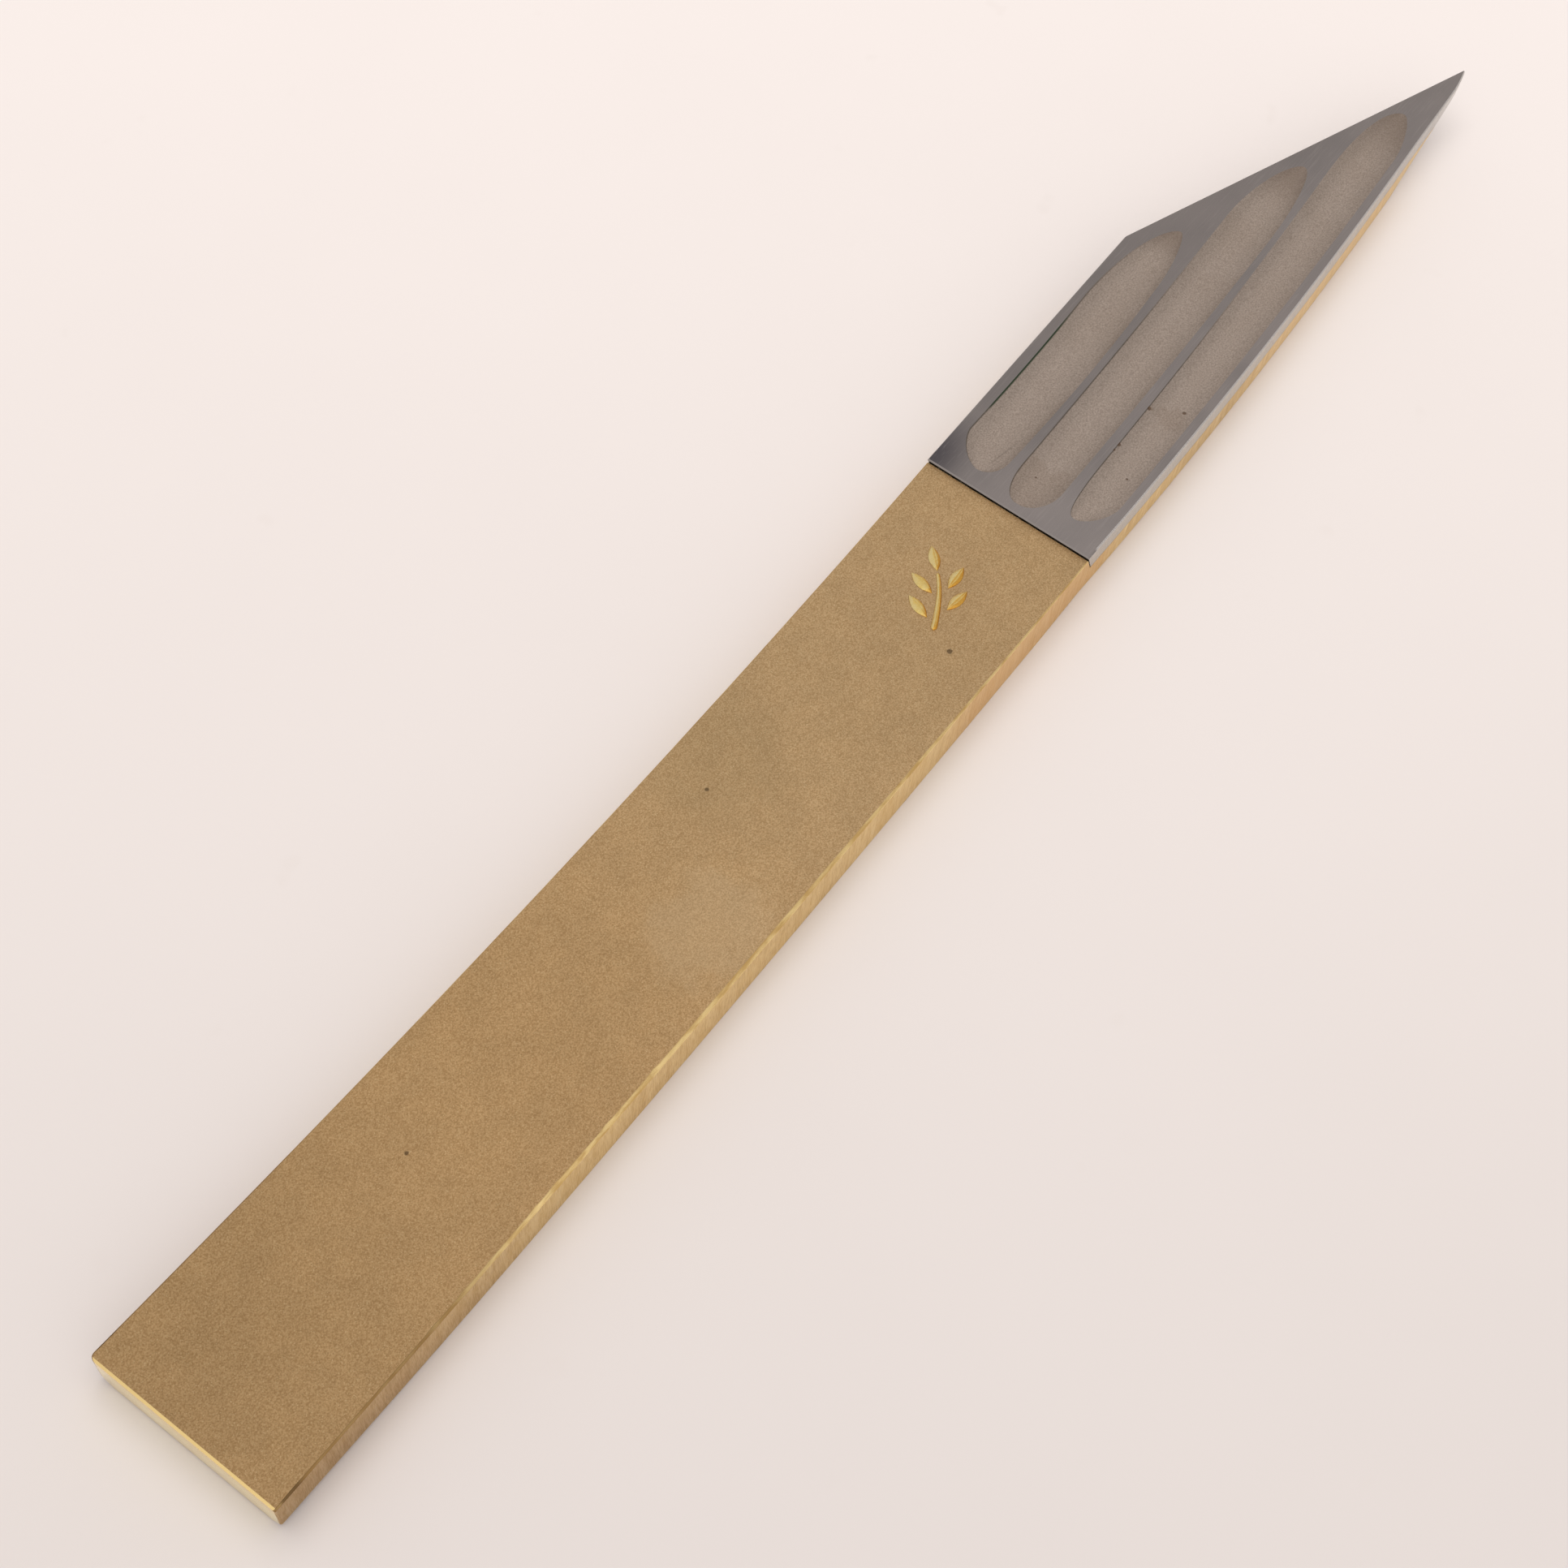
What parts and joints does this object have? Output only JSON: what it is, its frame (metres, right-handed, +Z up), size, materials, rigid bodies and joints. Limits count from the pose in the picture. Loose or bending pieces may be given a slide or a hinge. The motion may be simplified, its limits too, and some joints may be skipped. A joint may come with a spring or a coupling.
{
  "type": "skiving knife",
  "caption": "Skew skiving knife: a brass bar handle let in with a hard steel blade that has three hollow grinds and a single bevel, with a small gold sprig inlay",
  "frame": {"origin": "centre of the bounding box's bottom face", "axes": "+X from the tail to the blade's tip, +Y to the left side seen from the tail, +Z up through the hollow-ground face; the knife lies on its back"},
  "size_m": [0.185, 0.019, 0.0052],
  "materials": {
    "brass": "fine blasted top face, lightly brushed sides",
    "tool_steel": "satin flat face, coarse matte in the hollow grinds",
    "solder": "dull, tarnished",
    "gold": "bright, chisel-textured"
  },
  "bodies": {
    "root": {"brass_body": "brass", "steel_blade": "tool_steel", "solder_seam": "solder", "inlay_stem": "gold", "inlay_leaf_tip": "gold", "inlay_leaf_upper_left": "gold", "inlay_leaf_upper_right": "gold", "inlay_leaf_lower_left": "gold", "inlay_leaf_lower_right": "gold"}
  },
  "joints": []
}
